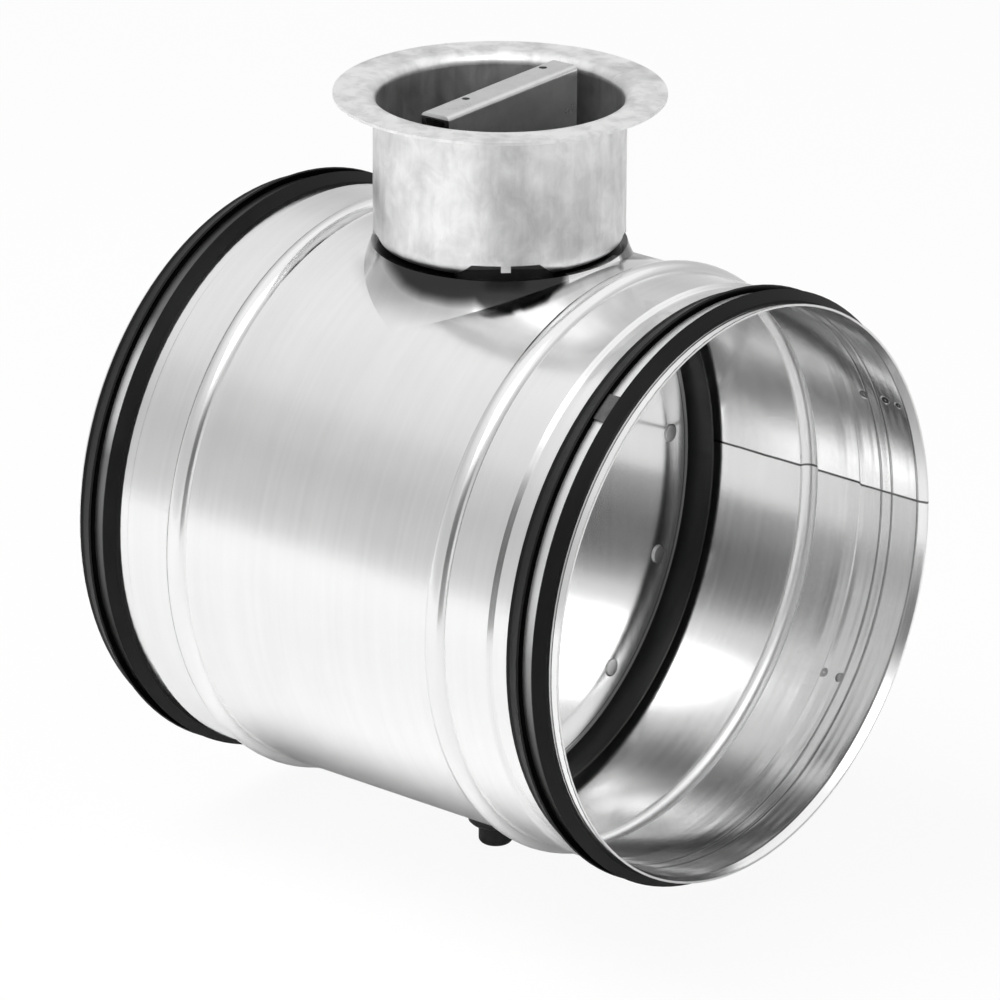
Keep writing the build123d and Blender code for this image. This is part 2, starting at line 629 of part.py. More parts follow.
# ---- write every piece -----------------------------------------------------------
fixed = {
    "duct_body": duct_body.part,
    "seal_right": seal_right.part,
    "seal_left": to_left * seal_right.part,
    "strap_right": strap_right.part,
    "strap_left": to_left * strap_right.part,
    "strap_clip_right": strap_clip_right.part,
    "strap_clip_left": to_left * left_clip_turn * strap_clip_right.part,
    "cup": cup.part,
    "cup_rivets": cup_rivets.part,
    "upper_bush": upper_bush.part,
    "shaft_seal": shaft_seal.part,
    "lower_bush": lower_bush.part,
}
turning = {
    "spindle": spindle.part,
    "blade_front": blade_front.part,
    "blade_rear": blade_rear.part,
    "blade_gasket": blade_gasket.part,
    "blade_rivets": blade_rivets,
    "saddle_upper": spindle_saddle(SADDLE_Z),
    "saddle_lower": spindle_saddle(-SADDLE_Z),
    "saddle_rivets": saddle_rivets,
    "handle": handle.part,
    "handle_screw": handle_screw.part,
    "handle_washer": handle_washer.part,
    "handle_nut": handle_nut.part,
}
os.makedirs("parts", exist_ok=True)
for name, shape in fixed.items():
    shape.label = name
    export_step(shape, f"parts/{name}.step")
for name, shape in turning.items():
    turned_shape = Rot(0, 0, REST_TURN) * shape
    turned_shape.label = name
    export_step(turned_shape, f"parts/{name}.step")
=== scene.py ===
import math
import bpy
from mathutils import Matrix, Vector


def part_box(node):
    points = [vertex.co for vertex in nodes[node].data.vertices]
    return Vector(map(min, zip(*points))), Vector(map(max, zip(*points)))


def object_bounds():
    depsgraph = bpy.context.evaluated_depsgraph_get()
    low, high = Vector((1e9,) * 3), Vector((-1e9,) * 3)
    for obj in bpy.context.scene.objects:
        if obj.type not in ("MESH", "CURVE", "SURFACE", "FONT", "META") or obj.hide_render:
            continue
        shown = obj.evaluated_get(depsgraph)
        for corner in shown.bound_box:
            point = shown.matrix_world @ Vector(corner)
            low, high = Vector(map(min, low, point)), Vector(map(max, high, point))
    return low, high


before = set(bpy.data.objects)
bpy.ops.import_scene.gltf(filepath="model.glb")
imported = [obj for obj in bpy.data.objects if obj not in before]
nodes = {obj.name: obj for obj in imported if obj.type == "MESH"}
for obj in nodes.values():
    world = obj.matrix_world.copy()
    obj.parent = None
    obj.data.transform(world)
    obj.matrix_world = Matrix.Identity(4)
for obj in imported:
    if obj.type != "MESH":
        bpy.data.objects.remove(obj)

cad_low, cad_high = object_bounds()
bpy.ops.object.select_all(action="DESELECT")

# ---- Duct body --------------------------------------------------------------
# The tube is rolled from thin galvanised sheet, lap welded along one side, with
# an insertion-stop bead rolled in near each end and a flat pad pressed up on top.
# The zinc is bright; the rolls leave fine streaks round the tube.


def reckon(tree, operation, first, second=None):
    """One step of arithmetic; either side may be a plain number."""
    node = tree.nodes.new("ShaderNodeMath")
    node.operation = operation
    for place, value in enumerate((first, second)):
        if isinstance(value, (int, float)):
            node.inputs[place].default_value = value
        elif value is not None:
            tree.links.new(value, node.inputs[place])
    return node.outputs[0]


def product(tree, *values):
    """All the values multiplied together."""
    total = values[0]
    for value in values[1:]:
        total = reckon(tree, "MULTIPLY", total, value)
    return total


def noise(tree, vector, scale, detail, roughness=0.5, distortion=0.0):
    """Soft noise from 0 to 1."""
    cloud = tree.nodes.new("ShaderNodeTexNoise")
    cloud.inputs["Scale"].default_value = scale
    cloud.inputs["Detail"].default_value = detail
    cloud.inputs["Roughness"].default_value = roughness
    cloud.inputs["Distortion"].default_value = distortion
    tree.links.new(vector, cloud.inputs["Vector"])
    return cloud.outputs["Fac"]


def zinc_sheet_effect():
    """Group for galvanised sheet: roll streaks and soft zinc blotches."""
    group = bpy.data.node_groups.new("zinc sheet", "ShaderNodeTree")
    face = group.interface
    face.new_socket("Streak Vector", in_out="INPUT", socket_type="NodeSocketVector")
    face.new_socket("Blotch Vector", in_out="INPUT", socket_type="NodeSocketVector")
    usual = {"Streaks": 0.1, "Blotches": 0.1, "Tone": 0.9, "Gloss": 0.18, "Gloss Spread": 0.06}
    for name, value in usual.items():
        face.new_socket(name, in_out="INPUT", socket_type="NodeSocketFloat").default_value = value
    face.new_socket("Color", in_out="OUTPUT", socket_type="NodeSocketColor")
    face.new_socket("Roughness", in_out="OUTPUT", socket_type="NodeSocketFloat")
    face.new_socket("Height", in_out="OUTPUT", socket_type="NodeSocketFloat")
    given, result = group.nodes.new("NodeGroupInput"), group.nodes.new("NodeGroupOutput")
    streak = noise(group, given.outputs["Streak Vector"], 1.0, 5.0, roughness=0.65)
    blotch = noise(group, given.outputs["Blotch Vector"], 1.0, 4.0, roughness=0.6, distortion=0.4)

    def centred(value, amount):
        """Noise about zero, times an input of the group."""
        return product(group, reckon(group, "SUBTRACT", value, 0.5), given.outputs[amount])

    grain = reckon(group, "ADD", centred(streak, "Streaks"), centred(blotch, "Blotches"))
    tone = reckon(group, "ADD", given.outputs["Tone"], grain)
    colour = group.nodes.new("ShaderNodeCombineColor")
    for channel in ("Red", "Green", "Blue"):
        group.links.new(tone, colour.inputs[channel])
    group.links.new(colour.outputs["Color"], result.inputs["Color"])
    spread = reckon(group, "ADD", centred(blotch, "Gloss Spread"), centred(streak, "Gloss Spread"))
    group.links.new(reckon(group, "ADD", given.outputs["Gloss"], spread), result.inputs["Roughness"])
    group.links.new(reckon(group, "ADD", streak, blotch), result.inputs["Height"])
    return group


zinc_sheet = zinc_sheet_effect()


def own_place(tree):
    """The piece's own coordinates."""
    return tree.nodes.new("ShaderNodeTexCoord").outputs["Object"]


def placed(tree, scale, turn=(0.0, 0.0, 0.0)):
    """The piece's own coordinates, stretched and turned."""
    mapping = tree.nodes.new("ShaderNodeMapping")
    mapping.inputs["Scale"].default_value = scale
    mapping.inputs["Rotation"].default_value = turn
    tree.links.new(own_place(tree), mapping.inputs["Vector"])
    return mapping.outputs["Vector"]


def galvanised(name, streak_scale, blotch_scale, streaks, blotches, tone, gloss, gloss_spread, relief):
    """Bare galvanised metal with its own grain."""
    material = bpy.data.materials.new(name)
    material.use_nodes = True
    tree = material.node_tree
    shader = tree.nodes["Principled BSDF"]
    shader.inputs["Metallic"].default_value = 1.0
    sheet = tree.nodes.new("ShaderNodeGroup")
    sheet.name = "sheet"
    sheet.node_tree = zinc_sheet
    tree.links.new(placed(tree, streak_scale), sheet.inputs["Streak Vector"])
    tree.links.new(placed(tree, blotch_scale), sheet.inputs["Blotch Vector"])
    settings = {"Streaks": streaks, "Blotches": blotches, "Tone": tone, "Gloss": gloss,
                "Gloss Spread": gloss_spread}
    for setting, value in settings.items():
        sheet.inputs[setting].default_value = value
    bump = tree.nodes.new("ShaderNodeBump")
    bump.name = "relief"
    bump.inputs["Strength"].default_value = 1.0
    bump.inputs["Distance"].default_value = relief
    tree.links.new(sheet.outputs["Color"], shader.inputs["Base Color"])
    tree.links.new(sheet.outputs["Roughness"], shader.inputs["Roughness"])
    tree.links.new(sheet.outputs["Height"], bump.inputs["Height"])
    tree.links.new(bump.outputs["Normal"], shader.inputs["Normal"])
    return material


def finish_node(name, material):
    """Gives one of the CAD pieces its material."""
    for place in nodes[name].material_slots:
        place.material = material


def spread_over(tree, value, start, end, results=(0.0, 1.0), smooth=True):
    """Carries a value from start and end over to the two results, and stays there beyond them."""
    ramp = tree.nodes.new("ShaderNodeMapRange")
    ramp.interpolation_type = "SMOOTHSTEP" if smooth else "LINEAR"
    ramp.inputs["From Min"].default_value = start
    ramp.inputs["From Max"].default_value = end
    ramp.inputs["To Min"].default_value, ramp.inputs["To Max"].default_value = results
    tree.links.new(value, ramp.inputs["Value"])
    return ramp.outputs["Result"]


def tones_along(tree, value, marks, interpolation="LINEAR"):
    """A grey for each place along a value, with the first mark at 0 and the last at 1."""
    ramp = tree.nodes.new("ShaderNodeValToRGB")
    ramp.color_ramp.interpolation = interpolation
    first, last = ramp.color_ramp.elements
    first.color, last.color = [(tone, tone, tone, 1.0) for place, tone in (marks[0], marks[-1])]
    for place, tone in marks[1:-1]:
        ramp.color_ramp.elements.new(place).color = (tone, tone, tone, 1.0)
    tree.links.new(value, ramp.inputs["Fac"])
    return ramp.outputs["Color"]


def shade(material, share):
    """Multiplies the zinc's own colour by a share."""
    tree = material.node_tree
    toned = tree.nodes.new("ShaderNodeMix")
    toned.data_type = "RGBA"
    toned.blend_type = "MULTIPLY"
    toned.inputs["Factor"].default_value = 1.0
    tree.links.new(tree.nodes["sheet"].outputs["Color"], toned.inputs["A"])
    tree.links.new(share, toned.inputs["B"])
    tree.links.new(toned.outputs["Result"], tree.nodes["Principled BSDF"].inputs["Base Color"])


def vector_step(tree, operation, first, second):
    """One step with two vectors; the second may be plain numbers."""
    node = tree.nodes.new("ShaderNodeVectorMath")
    node.operation = operation
    tree.links.new(first, node.inputs[0])
    if isinstance(second, tuple):
        node.inputs[1].default_value = second
    else:
        tree.links.new(second, node.inputs[1])
    return node.outputs["Value"] if operation in ("DISTANCE", "DOT_PRODUCT") else node.outputs["Vector"]


def axes(tree, vector):
    """The three sides of a vector."""
    parts = tree.nodes.new("ShaderNodeSeparateXYZ")
    tree.links.new(vector, parts.inputs[0])
    return parts.outputs["X"], parts.outputs["Y"], parts.outputs["Z"]


def across(tree, first, second):
    """Distance from an axis, from the two sides square to it."""
    squares = reckon(tree, "ADD", product(tree, first, first), product(tree, second, second))
    return reckon(tree, "SQRT", squares)


def near(tree, value, centre, half):
    """1 at the centre and close to it, falling to 0 at half away."""
    core = 0.35
    apart = reckon(tree, "ABSOLUTE", reckon(tree, "SUBTRACT", value, centre))
    return spread_over(tree, apart, half, core * half)


def wander(tree):
    """A slow shift of a few thousandths either way, so that no line is drawn quite true."""
    cloud_scale = 90.0
    swing = 0.006
    cloud = noise(tree, own_place(tree), cloud_scale, detail=3.0)
    return product(tree, reckon(tree, "SUBTRACT", cloud, 0.5), swing)


def seam_and_marks(tree, inner):
    """Mask of the lap weld along the tube, the roll lines and the crimp marks near the right rim."""
    weld_angle, weld_half = math.radians(2.7), math.radians(0.28)
    # each roll line: place along the tube and half its width
    roll_lines = [(0.0716, 0.0005), (0.0752, 0.0005), (0.0838, 0.0004)]
    # each crimp mark: place along the tube, bearing in degrees and radius
    crimp_radius = 0.0782
    crimp_marks = [(0.0703, 25.5, 0.0011), (0.0776, 25.5, 0.0010), (0.0818, 25.0, 0.0008),
                   (0.0650, -37.0, 0.0010), (0.0706, -37.0, 0.0010), (0.0440, 5.3, 0.0009)]
    line_share = 0.55
    crimp_share = 0.7
    ring_middle, ring_half = 0.9, 0.7
    x, y, z = axes(tree, own_place(tree))
    angle = reckon(tree, "ADD", reckon(tree, "ARCTAN2", z, y), wander(tree))
    dark = near(tree, angle, weld_angle, weld_half)
    for line_x, half in roll_lines:
        dark = reckon(tree, "MAXIMUM", dark, product(tree, near(tree, x, line_x, half), inner, line_share))
    for mark_x, degrees, radius in crimp_marks:
        turn = math.radians(degrees)
        spot = (mark_x, crimp_radius * math.cos(turn), crimp_radius * math.sin(turn))
        apart = vector_step(tree, "DISTANCE", own_place(tree), spot)
        ring = near(tree, apart, ring_middle * radius, ring_half * radius)
        dark = reckon(tree, "MAXIMUM", dark, product(tree, ring, crimp_share))
    return dark


def painted_pad_shade(tree):
    """Mask of painted shade round the pressed-up pad: on its steep flanks, a softer shade beyond them, and
    on the pad under the cup.
    """
    pad_foot = 0.0326
    lowest = 0.05
    pad_edge = 0.0340
    longest_reach = 0.01
    least_reach = 0.004
    # how far from the spindle's line the painted shade on the flank reaches, for each bearing in degrees
    shade_reach = [(18, 0.0340), (23, 0.0362), (29, 0.0392), (38, 0.0414), (46, 0.0418), (54, 0.0384),
                  (60, 0.0368), (72, 0.0371), (84, 0.0369), (94, 0.0363), (104, 0.0354), (114, 0.0343)]
    flank_shade_blur = (0.0017, -0.0012)
    flank_raggedness = 0.10
    soft_shade_share = 0.34
    soft_shade_blur = (0.0068, 0.0)
    soft_shade_along = (0.026, 0.012)
    soft_shade_across = (0.022, 0.030)
    x, y, z = axes(tree, own_place(tree))
    plan = across(tree, x, y)
    bearing = reckon(tree, "ABSOLUTE", reckon(tree, "ARCTAN2", y, x))
    marks = [(degrees / 180.0, (edge - pad_edge) / longest_reach) for degrees, edge in shade_reach]
    reach = tones_along(tree, spread_over(tree, bearing, 0.0, math.pi, smooth=False),
                        [(0.0, 0.0)] + marks + [(1.0, 0.0)])
    edge = reckon(tree, "ADD", product(tree, reach, longest_reach), pad_edge)
    ragged = product(tree, wander(tree), flank_raggedness)
    beyond = reckon(tree, "ADD", reckon(tree, "SUBTRACT", plan, edge), ragged)
    # painted shade on the steep flanks, with a softer painted shade beyond them
    flank_shade = product(tree, spread_over(tree, beyond, *flank_shade_blur),
                    reckon(tree, "GREATER_THAN", reach, least_reach))
    soft_shade = product(tree, spread_over(tree, beyond, *soft_shade_blur), spread_over(tree, x, *soft_shade_along),
                   soft_shade_share, spread_over(tree, reckon(tree, "ABSOLUTE", y), *soft_shade_across))
    # painted shade: the pad's top under the cup is painted dark
    shade_under_cup = reckon(tree, "LESS_THAN", plan, pad_foot)
    skin = reckon(tree, "MAXIMUM", reckon(tree, "MAXIMUM", flank_shade, soft_shade), shade_under_cup)
    return product(tree, skin, reckon(tree, "GREATER_THAN", z, lowest))


def inside_of_bead(tree):
    """Mask of the inside of the right bead, which is made duller, and paler as a painted highlight."""
    bead_x = 0.0456
    bead_half = 0.0040
    outward = vector_step(tree, "MULTIPLY", own_place(tree), (0.0, 1.0, 1.0))
    surface = tree.nodes.new("ShaderNodeNewGeometry")
    facing = vector_step(tree, "DOT_PRODUCT", outward, surface.outputs["True Normal"])
    x, y, z = axes(tree, own_place(tree))
    return product(tree, near(tree, x, bead_x, bead_half), reckon(tree, "LESS_THAN", facing, 0.0))


def tube_relief(tree, inner, dark):
    """Sinks the lines, leaves faint roll waves towards the right rim and leans the rim outwards."""
    line_depth = 8.0
    wave_scale = 130.0
    wave_height = 24.0
    waves_begin, waves_full = 0.052, 0.066
    flare_begin, flare_end = 0.0842, 0.0867
    flare_depth = -60.0
    x, y, z = axes(tree, own_place(tree))
    waves = tree.nodes.new("ShaderNodeTexNoise")
    waves.noise_dimensions = "1D"
    waves.inputs["Scale"].default_value = wave_scale
    waves.inputs["Detail"].default_value = 2.0
    tree.links.new(x, waves.inputs["W"])
    wavy = product(tree, waves.outputs["Fac"], spread_over(tree, x, waves_begin, waves_full), inner,
                   wave_height)
    flare = spread_over(tree, x, flare_begin, flare_end, (0.0, flare_depth), smooth=False)
    lean = product(tree, flare, inner)
    sunk = reckon(tree, "SUBTRACT", tree.nodes["sheet"].outputs["Height"], product(tree, dark, line_depth))
    height = reckon(tree, "ADD", reckon(tree, "ADD", sunk, wavy), lean)
    tree.links.new(height, tree.nodes["relief"].inputs["Height"])


def finish_tube(material):
    """Adds the seam, the marks, painted shade round the pad and the dull bead with a painted highlight to
    the tube's zinc.
    """
    tree = material.node_tree
    inner_radius = 0.0789
    line_darkness = 0.82
    # how dark the painted shade round the pad is
    pad_shade_darkness = 0.93
    bead_painted_highlight = 0.12
    bead_dullness = 0.22
    x, y, z = axes(tree, own_place(tree))
    inner = reckon(tree, "LESS_THAN", across(tree, y, z), inner_radius)
    dark = seam_and_marks(tree, inner)
    # painted shade round the pad: on its steep flanks, softer beyond them, and under the cup
    skin = painted_pad_shade(tree)
    # the inside of the right bead is paled as a painted highlight and made duller in roughness
    bead = inside_of_bead(tree)
    shade(material, product(tree, reckon(tree, "SUBTRACT", 1.0, product(tree, dark, line_darkness)),
                            reckon(tree, "ADD", 1.0, product(tree, bead, bead_painted_highlight)),
                            reckon(tree, "SUBTRACT", 1.0, product(tree, skin, pad_shade_darkness))))
    tube_relief(tree, inner, dark)
    dull = reckon(tree, "ADD", tree.nodes["sheet"].outputs["Roughness"], product(tree, bead, bead_dullness))
    tree.links.new(dull, tree.nodes["Principled BSDF"].inputs["Roughness"])


tube_zinc = galvanised("bright rolled zinc", (420.0, 9.0, 9.0), (55.0, 38.0, 38.0),
                       streaks=0.10, blotches=0.07, tone=0.88, gloss=0.17, gloss_spread=0.08, relief=0.00001)
finish_tube(tube_zinc)
finish_node("duct_body", tube_zinc)

# ---- Spigot seals -----------------------------------------------------------
# One-piece EPDM rubber rings with two soft lips, one on each spigot. They are
# moulded, satin black, and sit in the rolled seat under their steel strap.


def rubber(name, tone, gloss, shine):
    """Moulded black rubber with a faint bloom and skin texture."""
    material = bpy.data.materials.new(name)
    material.use_nodes = True
    tree = material.node_tree
    shader = tree.nodes["Principled BSDF"]
    skin_scale = (260.0, 60.0, 60.0)
    skin_depth = 0.00003
    dull_swing = 0.06
    skin = noise(tree, placed(tree, skin_scale), 1.0, detail=4.0)
    colour = tree.nodes.new("ShaderNodeValToRGB")
    # the darkest and the palest rubber, the pale bloom a little bluish
    darkest, palest = colour.color_ramp.elements
    darkest.position = 0.3
    darkest.color = (tone * 0.7, tone * 0.7, tone * 0.72, 1.0)
    palest.position = 0.75
    palest.color = (tone * 1.5, tone * 1.5, tone * 1.55, 1.0)
    tree.links.new(skin, colour.inputs["Fac"])
    tree.links.new(colour.outputs["Color"], shader.inputs["Base Color"])
    dull = spread_over(tree, skin, 0.0, 1.0, (gloss - dull_swing, gloss + dull_swing), smooth=False)
    tree.links.new(dull, shader.inputs["Roughness"])
    shader.inputs["Specular IOR Level"].default_value = shine
    bump = tree.nodes.new("ShaderNodeBump")
    bump.inputs["Distance"].default_value = skin_depth
    tree.links.new(skin, bump.inputs["Height"])
    tree.links.new(bump.outputs["Normal"], shader.inputs["Normal"])
    return material


seal_rubber = rubber("satin black seal rubber", tone=0.006, gloss=0.50, shine=0.16)
for name in ("seal_right", "seal_left"):
    finish_node(name, seal_rubber)

# ---- Seal straps and clips --------------------------------------------------
# A narrow steel strip lies between the lips and clamps each seal to the spigot.
# Its ends are pulled together under a small curved clip of darker plated steel.
strap_steel = galvanised("drawn strap steel", (60.0, 30.0, 30.0), (120.0, 90.0, 90.0),
                         streaks=0.10, blotches=0.08, tone=0.95, gloss=0.40, gloss_spread=0.08,
                         relief=0.000006)
# the left strap has its own copy of the steel, so that it carries its own painted shade
left_strap_steel = strap_steel.copy()
left_strap_steel.name = "drawn strap steel, left"


def paint_shade_by_height(material, marks):
    """Painted shade on the strip that changes with height; each mark is a height and a tone."""
    reach = 0.08
    x, y, z = axes(material.node_tree, own_place(material.node_tree))
    rise = spread_over(material.node_tree, z, -reach, reach, smooth=False)
    steps = [((height + reach) / (2 * reach), tone) for height, tone in marks]
    steps = [(0.0, marks[0][1])] + steps + [(1.0, marks[-1][1])]
    shade(material, tones_along(material.node_tree, rise, steps))


# painted shade: the right strip darkens towards its lower side, where it lies in shade between the lips
paint_shade_by_height(strap_steel, [(-0.062, 0.02), (-0.040, 0.05), (-0.018, 0.14), (0.004, 0.38), (0.020, 0.9),
                           (0.050, 1.0)])
# painted shade: the left strip is lit in a band partway up and darker above and below it
paint_shade_by_height(left_strap_steel, [(-0.060, 0.02), (-0.030, 0.06), (0.000, 0.16), (0.022, 0.30), (0.032, 1.0),
                                (0.046, 1.0), (0.056, 0.25), (0.072, 0.12)])
finish_node("strap_right", strap_steel)
finish_node("strap_left", left_strap_steel)
clip_steel = galvanised("dark plated clip", (500.0, 500.0, 500.0), (300.0, 300.0, 300.0),
                        streaks=0.10, blotches=0.16, tone=0.15, gloss=0.34,
                        gloss_spread=0.10, relief=0.000010)
for name in ("strap_clip_right", "strap_clip_left"):
    finish_node(name, clip_steel)

# ---- Handle cup -------------------------------------------------------------
# Drawn from galvanised sheet in one piece with its wide flange, then riveted to
# the pad. Drawing has left the zinc matt and blotchy, with upright draw marks.
cup_zinc = galvanised("matt drawn zinc", (240.0, 240.0, 26.0), (170.0, 170.0, 120.0),
                      streaks=0.34, blotches=0.66, tone=0.88, gloss=0.42, gloss_spread=0.22, relief=0.00004)


def cup_shades(material):
    """Painted shade darkens the inside of the cup and a painted highlight brightens the flange; soft clouds
    lie over both.
    """
    tree = material.node_tree
    x, y, z = axes(tree, own_place(tree))
    # each ring: its radius and its tone, out past the rim of the flange; the low tones inside the cup are
    # painted shade and the raised tone on the flange a painted highlight
    farthest = 0.05
    rings = [(0.0, 0.40), (0.0329, 0.42), (0.0334, 0.98), (0.0350, 0.98), (0.0372, 1.06), (farthest, 1.06)]
    cloud_scale = 46.0
    cloud_range = (0.30, 0.55)
    cloud_tones = (0.83, 1.04)
    outward = spread_over(tree, across(tree, x, y), 0.0, farthest, smooth=False)
    shades = tones_along(tree, outward, [(radius / farthest, tone) for radius, tone in rings])
    cloud = noise(tree, own_place(tree), cloud_scale, detail=1.0)
    clouds = spread_over(tree, cloud, *cloud_range, cloud_tones, smooth=False)
    shade(material, product(tree, shades, clouds))


cup_shades(cup_zinc)
finish_node("cup", cup_zinc)

# ---- Cup rivets -------------------------------------------------------------
# Four zinc-plated steel rivets, one through each land of the cup's foot. They
# are set from below, so the domed heads lie inside the cup.
plated = galvanised("zinc-plated fasteners", (700.0, 700.0, 700.0), (420.0, 420.0, 420.0),
                    streaks=0.08, blotches=0.12, tone=0.70, gloss=0.28, gloss_spread=0.10, relief=0.000012)
finish_node("cup_rivets", plated)

# ---- Spindle bearings -------------------------------------------------------
# Two bushes of dark moulded plastic carry the spindle. The upper one is pressed
# through the cup and the pad, the lower one is stepped and closed at its tip.


def moulded_plastic(name, tone, gloss):
    """Dark injection moulded plastic with a fine spark-eroded skin."""
    material = bpy.data.materials.new(name)
    material.use_nodes = True
    tree = material.node_tree
    shader = tree.nodes["Principled BSDF"]
    cloud_scale = 160.0
    grain_scale = 2200.0
    grain_depth = 0.00002
    darkest, palest = 0.8 * tone, 1.25 * tone
    dull_swing = 0.05
    cloud = noise(tree, own_place(tree), cloud_scale, detail=2.0)
    colour = spread_over(tree, cloud, 0.0, 1.0, (darkest, palest), smooth=False)
    tree.links.new(colour, shader.inputs["Base Color"])
    dull = spread_over(tree, cloud, 0.0, 1.0, (gloss - dull_swing, gloss + dull_swing), smooth=False)
    tree.links.new(dull, shader.inputs["Roughness"])
    grain = tree.nodes.new("ShaderNodeTexVoronoi")
    grain.inputs["Scale"].default_value = grain_scale
    tree.links.new(own_place(tree), grain.inputs["Vector"])
    bump = tree.nodes.new("ShaderNodeBump")
    bump.inputs["Distance"].default_value = grain_depth
    tree.links.new(grain.outputs["Distance"], bump.inputs["Height"])
    tree.links.new(bump.outputs["Normal"], shader.inputs["Normal"])
    return material


bush_plastic = moulded_plastic("dark bush plastic", tone=0.022, gloss=0.42)
for name in ("upper_bush", "lower_bush"):
    finish_node(name, bush_plastic)

# ---- Shaft seal -------------------------------------------------------------
# A rubber ring in the groove of the upper bush. It keeps air in and grips the
# spindle enough to hold the blade where it is set.
finish_node("shaft_seal", seal_rubber)

# ---- Spindle ----------------------------------------------------------------
# One turned bar of zinc-plated steel from the lower bush up into the handle,
# where it has two flats and a cross hole for the handle's screw.
turned_bar = galvanised("turned and plated bar", (90.0, 90.0, 900.0), (300.0, 300.0, 300.0),
                        streaks=0.10, blotches=0.05, tone=0.72, gloss=0.22,
                        gloss_spread=0.06, relief=0.000008)
finish_node("spindle", turned_bar)

# ---- Blade discs ------------------------------------------------------------
# Two discs blanked from bright galvanised sheet, one each side of the gasket.
# The front one has its rim pressed a little lower. Roll streaks run up and down.
disc_zinc = galvanised("bright flat zinc", (9.0, 420.0, 12.0), (50.0, 50.0, 50.0),
                       streaks=0.08, blotches=0.08, tone=0.90, gloss=0.14,
                       gloss_spread=0.07, relief=0.000008)
finish_node("blade_rear", disc_zinc)
dished_zinc = disc_zinc.copy()
dished_zinc.name = "dished front disc zinc"


def dish_edge(material, middle, start, rim, slope, shade_line_radius):
    """The outer band of the front disc is dished forward towards its rim in the relief, with a thin line of
    painted shade near the rim.
    """
    tree = material.node_tree
    line_half = 0.0001
    line_edge = 0.0003
    line_darkness = 0.62
    radius = vector_step(tree, "DISTANCE", own_place(tree), middle)
    outward = spread_over(tree, radius, start, rim, smooth=False)
    depth = tree.nodes["relief"].inputs["Distance"].default_value
    rise = product(tree, outward, outward, 0.5 * slope * (rim - start) / depth)
    height = reckon(tree, "ADD", tree.nodes["sheet"].outputs["Height"], rise)
    tree.links.new(height, tree.nodes["relief"].inputs["Height"])
    # painted shade: a thin dark line near the rim where the hem steps down
    line = product(tree, spread_over(tree, radius, shade_line_radius - line_edge, shade_line_radius - line_half),
                   spread_over(tree, radius, shade_line_radius + line_edge, shade_line_radius + line_half))
    shade(material, reckon(tree, "SUBTRACT", 1.0, product(tree, line, line_darkness)))


dish_edge(dished_zinc, middle=(0.00998, 0.00061, 0.0), start=0.0655, rim=0.0759, slope=0.40, shade_line_radius=0.0737)
finish_node("blade_front", dished_zinc)

# ---- Blade gasket -----------------------------------------------------------
# A moulded rubber ring clamped between the discs. Its lip leans forward and
# brushes the wall of the tube when the blade is shut.
gasket_rubber = rubber("satin gasket rubber", tone=0.010, gloss=0.40, shine=0.32)
finish_node("blade_gasket", gasket_rubber)

# ---- Blade rivets and spindle saddles ---------------------------------------
# Twelve small rivets clamp discs and gasket. Two saddles of plated strip are
# bent over the spindle and riveted to the rear disc, so the blade turns with it.
flush_rivet = galvanised("flush zinc rivet", (500.0, 500.0, 500.0), (300.0, 300.0, 300.0),
                         streaks=0.06, blotches=0.10, tone=0.60, gloss=0.38,
                         gloss_spread=0.08, relief=0.000008)
finish_node("blade_rivets", flush_rivet)
for name in ("saddle_upper", "saddle_lower", "saddle_rivets"):
    finish_node(name, plated)

# ---- Handle -----------------------------------------------------------------
# A long narrow channel folded from galvanised sheet lies across the cup with its
# open side down and shows how the blade stands. It clamps on the spindle's flats.
handle_zinc = galvanised("folded handle zinc", (240.0, 40.0, 240.0), (260.0, 260.0, 200.0),
                         streaks=0.14, blotches=0.20, tone=0.76, gloss=0.30,
                         gloss_spread=0.12, relief=0.00002)


def darken_handle_ends(material, turn, half_length, top, sheet):
    """The ends of the cheeks below the folded top are darkened; the top keeps its bright zinc."""
    tree = material.node_tree
    end_margin = 0.0001
    bright_share = 0.7
    end_darkness = 0.9
    x, y, z = axes(tree, placed(tree, (1.0, 1.0, 1.0), (0.0, 0.0, -turn)))
    at_end = reckon(tree, "GREATER_THAN", reckon(tree, "ABSOLUTE", y), half_length - end_margin)
    below_top = reckon(tree, "LESS_THAN", z, top - bright_share * sheet)
    shade(material, reckon(tree, "SUBTRACT", 1.0, product(tree, at_end, below_top, end_darkness)))


darken_handle_ends(handle_zinc, turn=math.radians(3.5), half_length=0.0287, top=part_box("handle")[1][2],
              sheet=0.0015)
finish_node("handle", handle_zinc)

# ---- Handle screw, washer and nut -------------------------------------------
# A plated cross-head screw passes through the cheeks of the handle and the
# flats of the spindle, with a washer and a hexagon nut on the far side.
for name in ("handle_screw", "handle_washer", "handle_nut"):
    finish_node(name, plated)

# ---- Studio: table, softboxes, flags ----------------------------------------
# The damper stands on a pale table in a white studio. Grey walls and a darker
# flag give the bright metal something to show. One softbox hangs overhead, its
# glare kept off the metal, and a larger one stands high at the front right.
table_size = 9.0
table_gap = 0.0001
table_z = cad_low[2] - table_gap
bpy.ops.mesh.primitive_plane_add(size=table_size, location=(0.0, 0.0, 0.0))
table_top = bpy.context.object
table_top.name = "table top"
bpy.ops.object.mode_set(mode="EDIT")
bpy.ops.transform.translate(value=(0.0, 0.0, table_z))
bpy.ops.object.mode_set(mode="OBJECT")


def white_for_rays(tree, camera_share, glossy_share):
    """How much of the plain white the camera and the metal see."""
    rays = tree.nodes.new("ShaderNodeLightPath")
    seen = product(tree, rays.outputs["Is Camera Ray"], camera_share)
    seen = reckon(tree, "MAXIMUM", seen, product(tree, rays.outputs["Is Glossy Ray"], glossy_share))
    return reckon(tree, "MAXIMUM", seen, product(tree, rays.outputs["Is Transmission Ray"], camera_share))


